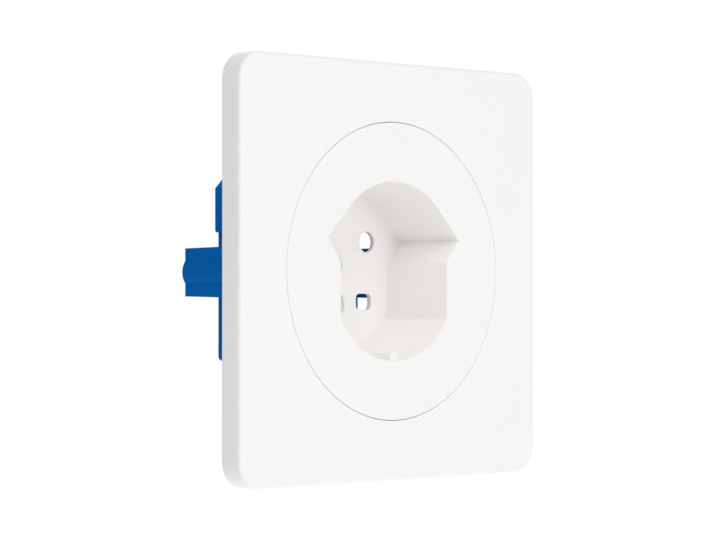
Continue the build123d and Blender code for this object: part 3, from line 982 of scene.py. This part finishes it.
    def front_rows(self) -> np.ndarray:
        """Rows from the disc's edge over the face, down the recess wall and out to its floor.

        The face blends from the circle to the mouth at the same polar angle.

        Returns:
            Rows by columns by 3.
        """
        points, ways = self.outline(outside=False)
        angles = np.arctan2(points[:, 1], points[:, 0])
        brow = self.front + self.joint_round
        edge = np.stack([
            at_depth(circle(self.radius - i, angles), brow - r)
            for i, r in quarter(self.joint_round, self.joint_steps)
        ])
        mouth = np.stack([
            at_depth(points + (self.mouth_round - r) * ways, self.front + i)
            for i, r in quarter(self.mouth_round, self.mouth_steps)
        ])
        hollow = np.stack([
            at_depth(points - i * ways, self.bottom - self.floor_round + r)
            for i, r in quarter(self.floor_round, self.floor_steps)
        ])
        disc = at_depth(circle(self.radius, angles), self.front + self.rim)
        return np.concatenate([
            span(disc, edge[0], self.rim_steps)[:-1],
            edge,
            span(edge[-1], mouth[0], self.face_steps)[1:-1],
            mouth,
            span(mouth[-1], hollow[0], self.wall_steps)[1:-1],
            hollow,
        ])

    def cup_rows(self) -> np.ndarray:
        """Rows of the cup's outside: the outline moved out by the wall, from floor to disc.

        Returns:
            Rows by columns by 3.
        """
        points, ways = self.outline(outside=True)
        end = self.bottom + self.floor
        inner = self.wall - self.cup_round
        foot = np.stack([
            at_depth(points + (inner + r) * ways, end - i)
            for i, r in quarter(self.cup_round, self.cup_round_steps)
        ])
        top = at_depth(points + self.wall * ways, self.front + self.rim)
        return np.concatenate([foot, span(foot[-1], top, self.cup_steps)[1:]])

    def round_hole(self, middle: Pair) -> np.ndarray:
        """A pin opening: a flared lead-in, softly rounded, and a straight wall.

        The flare's radius is pin + lead * (1 - t) ** p at the depth lead * t ** p.

        Args:
            middle: The pin's X and Z.

        Returns:
            Rows by columns by 3.
        """
        angles = whole_turn(self.pin_steps)
        share = np.linspace(0.0, 1.0, self.pin_lead_steps)
        flare = self.pin + self.pin_lead * (1.0 - share) ** self.pin_lead_power
        depth = self.bottom + self.pin_lead * share**self.pin_lead_power
        lead = [at_depth(circle(r, angles, middle), y) for r, y in zip(flare, depth)]
        end = at_depth(circle(self.pin, angles, middle), self.bottom + self.floor)
        return np.stack([*lead, end])

    def slot_hole(self, middle: Pair) -> np.ndarray:
        """A flat pin's opening: a rounded rectangle with a small rounded edge and a straight wall.

        Args:
            middle: The pin's X and Z.

        Returns:
            Rows by columns by 3.
        """
        turns = np.linspace(0.0, np.pi / 2, self.slot_corner_steps)
        fan = np.concatenate([circle(1.0, turns + spin) for spin in np.arange(4) * np.pi / 2])
        signs = np.array([[1.0, 1.0], [-1.0, 1.0], [-1.0, -1.0], [1.0, -1.0]])
        reach = np.array(self.slot_half) - self.slot_corner
        hubs = np.repeat(signs * reach, len(turns), axis=0)
        flare = self.slot_corner + self.slot_lead
        lead = [
            at_depth(middle + hubs + (flare - r) * fan, self.bottom + i)
            for i, r in quarter(self.slot_lead, self.slot_lead_steps)
        ]
        end = at_depth(middle + hubs + self.slot_corner * fan, self.bottom + self.floor)
        return np.stack([*lead, end])

    def screw_seat(self) -> tuple[np.ndarray, np.ndarray]:
        """The countersink and hole of the insert screw, and the round seat behind the floor.

        Returns:
            Rows of the hole and rows of the seat, each rows by columns by 3.
        """
        angles = whole_turn(self.screw_steps)
        floor_end = self.bottom + self.floor
        seat_end = floor_end + self.seat_height
        sink = self.screw_sink - self.screw_hole
        radii = (self.screw_sink, self.screw_hole, self.screw_hole)
        depths = (self.bottom, self.bottom + sink, seat_end)
        hole = np.stack([at_depth(circle(r, angles, self.screw), y) for r, y in zip(radii, depths)])
        ring = circle(self.seat, angles, self.screw)
        seat = np.stack([at_depth(ring, y) for y in (floor_end, seat_end)])
        return hole, np.concatenate([seat, hole[-1:]])

    def key_rows(self) -> np.ndarray:
        """The key rib at the bottom: an upright section with rounded top corners, carried along Y.

        Its front end shrinks over a quarter round, and its foot lies in the recess wall.

        Returns:
            Rows by columns by 3.
        """
        top = self.key_height - self.recess
        foot = -self.recess - self.wall / 2
        turns = np.linspace(0.0, np.pi / 2, self.key_corner_steps)
        hub = (self.key_half - self.key_round, top - self.key_round)
        right = circle(self.key_round, turns, hub)
        left = (right * np.array([-1.0, 1.0]))[::-1]
        section = np.concatenate([[[self.key_half, foot]], right, left, [[-self.key_half, foot]]])
        inward = -np.sign(section - [0.0, foot])
        shrink = np.array(self.key_shrink)
        start = self.front + self.key_setback
        end = self.bottom + self.floor / 2
        rows = [
            at_depth(section + inward * (self.key_round - r) * shrink, start + i)
            for i, r in quarter(self.key_round, self.key_end_steps)
        ]
        middle = np.tile([0.0, (top + foot) / 2], (len(section), 1))
        return np.stack([
            at_depth(middle, start), *rows, at_depth(section, end), at_depth(middle, end)
        ])

    def build(self) -> bpy.types.Object:
        """Joins the face, the recess, its floor with the openings, the cup and the rib.

        Returns:
            The insert piece.
        """
        skin = Skin()
        front, cup = self.front_rows(), self.cup_rows()
        holes = [self.round_hole(middle) for middle in self.round_pins]
        holes += [self.slot_hole(middle) for middle in self.flat_pins]
        screw, seat = self.screw_seat()
        for rows in (front, cup, *holes, screw, seat, self.key_rows()):
            skin.grid(rows)
        skin.flat([front[-1], *[rows[0] for rows in holes], screw[0]])
        skin.flat([cup[0], *[rows[-1] for rows in holes], seat[0]])
        skin.flat([front[0], cup[-1]])
        return skin.piece("insert_moulding")

    def dress(self, piece: bpy.types.Object, palette: Palette) -> None:
        """Gives the insert its white plastic and puts it in the place of its node."""
        palette.fit(piece, "front_insert", Finish.INSERT)


@dataclass(frozen=True)
class ScrewPlace:
    """Where a screw sits: the middle of its head's face, the way it faces, the way of its slot."""

    middle: Triple
    outward: Triple
    across: Triple = (1.0, 0.0, 0.0)

    def set_out(self, points: np.ndarray) -> np.ndarray:
        """Moves points here: middle + x * across + y * (outward x across) + z * outward.

        Args:
            points: Points in the screw's own axes, the last axis X, Y and Z.

        Returns:
            The points in the socket's axes.
        """
        outward, across = np.array(self.outward), np.array(self.across)
        turn = np.stack([across, np.cross(outward, across), outward])
        return points @ turn + np.array(self.middle)


@dataclass
class SlottedScrew:
    """Slotted screws of one kind: a slotted head and a threaded shank, repeated at each place.

    A head height of 0 stands for a countersunk head.
    """

    node: str
    places: tuple[ScrewPlace, ...]
    head: float
    shank: float
    length: float
    pitch: float
    head_height: float = 0.0
    slot_half: float = 0.4 * MM
    slot_depth: float = 0.8 * MM
    bevel: float = 0.12 * MM
    tip: float = 0.4 * MM
    thread_share: float = 0.55
    crest_gain: float = 1.3
    crest_cut: float = 0.15
    # Number of points along a turn of the thread, beside and in the slot, and along a chord
    turn_steps: int = 8
    cap_steps: int = 14
    slot_steps: int = 5
    chord_steps: int = 7

    @property
    def sunk(self) -> bool:
        """Whether the head is countersunk."""
        return self.head_height == 0.0

    def face_rows(self) -> np.ndarray:
        """The head's face as a grid of chords: x = u * sqrt(R * R - v * v), y = v, z = level.

        R is the head's radius at that level, which is 0 or the slot's floor, so on a countersunk
        head the slot's floor is shorter.

        Returns:
            Chords by points by 3, the chords in the order of rising v.
        """
        top = self.head if self.sunk else self.head - self.bevel
        bottom = self.head - self.slot_depth if self.sunk else self.head
        turns = np.linspace(math.asin(self.slot_half / top), np.pi / 2, self.cap_steps)
        upper = top * np.sin(turns)
        lower = np.linspace(-self.slot_half, self.slot_half, self.slot_steps)
        chord = np.concatenate([-upper[::-1], lower, upper])
        in_slot = np.zeros(len(chord), dtype=bool)
        in_slot[len(upper):len(upper) + len(lower)] = True
        radius = np.where(in_slot, bottom, top)
        half = np.sqrt(np.maximum(radius**2 - chord**2, 0.0))
        x = half[:, None] * np.linspace(-1.0, 1.0, self.chord_steps)[None, :]
        y = np.broadcast_to(chord[:, None], x.shape)
        z = np.broadcast_to(np.where(in_slot, -self.slot_depth, 0.0)[:, None], x.shape)
        return np.stack([x, y, z], axis=-1)

    def shank_rows(self, angles: np.ndarray, start: float) -> np.ndarray:
        """The threaded shank: r = shank - depth * ridge(z / pitch - angle / (2 pi)).

        The ridge is a triangle wave with flattened crests, and it dies out below the head.

        Args:
            angles: The polar angle of each column.
            start: How far below the head's face the shank begins.

        Returns:
            Rows by columns by 3, closed at the tip.
        """
        steps = int((self.length - start) / self.pitch * self.turn_steps)
        z = np.linspace(-start, -self.length, steps)[:, None]
        wave = (z / self.pitch - angles[None, :] / (2 * np.pi)) % 1.0
        ridge = np.clip(self.crest_gain * np.abs(2.0 * wave - 1.0) - self.crest_cut, 0.0, 1.0)
        grown = np.clip((-start - z) / self.pitch, 0.0, 1.0)
        radius = self.shank - self.thread_share * self.pitch * ridge * grown
        radius = np.minimum(radius, self.shank - self.tip + (z + self.length))
        level = np.broadcast_to(z, radius.shape)
        rows = np.stack([radius * np.cos(angles), radius * np.sin(angles), level], axis=-1)
        centre = np.zeros((1, len(angles), 3))
        centre[..., 2] = -self.length
        return np.concatenate([rows, centre])

    def side_rows(self, face: np.ndarray) -> np.ndarray:
        """Rows from the face's edge down the head and the shank.

        Args:
            face: The head's face.

        Returns:
            Rows by columns by 3.
        """
        edge = np.concatenate([face[:, -1], face[::-1, 0]])
        angles = np.arctan2(edge[:, 1], edge[:, 0])
        head = [edge]
        start = self.head - self.shank
        if not self.sunk:
            start = self.head_height
            brow = np.where(edge[:, 2] < 0.0, edge[:, 2], -self.bevel)
            around = circle(self.head, angles)
            foot = np.full_like(brow, -start)
            head += [np.concatenate([around, z[:, None]], axis=-1) for z in (brow, foot)]
        return np.concatenate([np.stack(head), self.shank_rows(angles, start)])

    def build(self) -> bpy.types.Object:
        """Sets the screw at each of its places.

        Returns:
            One piece with all the screws of this kind.
        """
        face = self.face_rows()
        side = self.side_rows(face)
        skin = Skin()
        for place in self.places:
            skin.grid(place.set_out(face), close_columns=False)
            skin.grid(place.set_out(side))
        return skin.piece(f"{self.node}_threaded")

    def dress(self, piece: bpy.types.Object, palette: Palette) -> None:
        """Plates the screws and puts them in the place of their node."""
        palette.fit(piece, self.node, Finish.STEEL)


@dataclass
class WallParts:
    """The blue parts that lie on the wall and in its box, from the CAD."""

    nodes: tuple[str, ...] = ("mounting_plate", "contact_base", "rear_cover")

    def dress(self, palette: Palette) -> None:
        """Gives each part its blue plastic.

        Args:
            palette: The painted finishes.
        """
        for name in self.nodes:
            palette.coat(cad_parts[name], Finish.BASE)
            LOG.info("%s in %s", name, Finish.BASE.value)


@dataclass
class Poles:
    """The metal inside the base, from the CAD: a contact, a spring and a clamp for each pole."""

    names: tuple[str, ...] = ("phase_1", "neutral", "earth", "phase_2", "phase_3")
    bush: str = "screw_bush"

    def dress(self, palette: Palette) -> None:
        """Gives the contacts and the bush their brass, and the springs and clamps their steel.

        Args:
            palette: The painted finishes.
        """
        palette.coat(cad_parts[self.bush], Finish.BRASS)
        LOG.info("%s in %s", self.bush, Finish.BRASS.value)
        for name in self.names:
            palette.coat(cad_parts[f"contact_{name}"], Finish.BRASS)
            palette.coat(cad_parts[f"spring_{name}"], Finish.STEEL)
            palette.coat(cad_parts[f"clamp_{name}"], Finish.STEEL)
            LOG.info("contact, spring and clamp of %s in brass and steel", name)


FORWARD, REARWARD = (0.0, -1.0, 0.0), (0.0, 1.0, 0.0)
UPWARD, DOWNWARD = (0.0, 0.0, 1.0), (0.0, 0.0, -1.0)
INSERT_SCREW = SlottedScrew(
    "insert_screw",
    (ScrewPlace((0.0, 12.5 * MM, -6.75 * MM), FORWARD, UPWARD),),
    head=2.7 * MM,
    shank=1.75 * MM,
    length=10.0 * MM,
    pitch=0.6 * MM,
)
PLATE_SCREWS = SlottedScrew(
    "plate_screws",
    tuple(ScrewPlace((x * MM, -1.6 * MM, -0.15 * MM), FORWARD) for x in (-23.5, 23.5)),
    head=2.7 * MM,
    shank=1.5 * MM,
    length=9.0 * MM,
    pitch=0.5 * MM,
)
COVER_SCREW = SlottedScrew(
    "cover_screw",
    (ScrewPlace((0.0, 34.5 * MM, -14.6 * MM), REARWARD),),
    head=2.3 * MM,
    shank=1.25 * MM,
    length=9.0 * MM,
    pitch=0.45 * MM,
    head_height=1.5 * MM,
)
TERMINAL_SCREWS = SlottedScrew(
    "terminal_screws",
    (
        *(ScrewPlace((x * MM, 24.85 * MM, 19.6 * MM), UPWARD) for x in (-8.5, 0.0, 8.5)),
        *(ScrewPlace((x * MM, 24.85 * MM, -18.45 * MM), DOWNWARD) for x in (-8.5, 8.5)),
    ),
    head=2.4 * MM,
    shank=1.5 * MM,
    length=4.9 * MM,
    pitch=0.5 * MM,
    head_height=1.8 * MM,
)


def main() -> None:
    """Builds the pieces in order and sets up the studio."""
    logging.basicConfig(level=logging.INFO, format="%(name)s: %(message)s")
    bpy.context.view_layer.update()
    palette = Palette.mixed()
    screws = (INSERT_SCREW, PLATE_SCREWS, COVER_SCREW, TERMINAL_SCREWS)
    for part in (CoverFrame(), FrontInsert(), *screws):
        part.dress(part.build(), palette)
    WallParts().dress(palette)
    Poles().dress(palette)
    studio = Studio()
    studio.light()
    studio.dress(studio.floor())
    studio.camera()
    bpy.context.scene.view_settings.view_transform = "Standard"


if __name__ == "__main__":
    main()
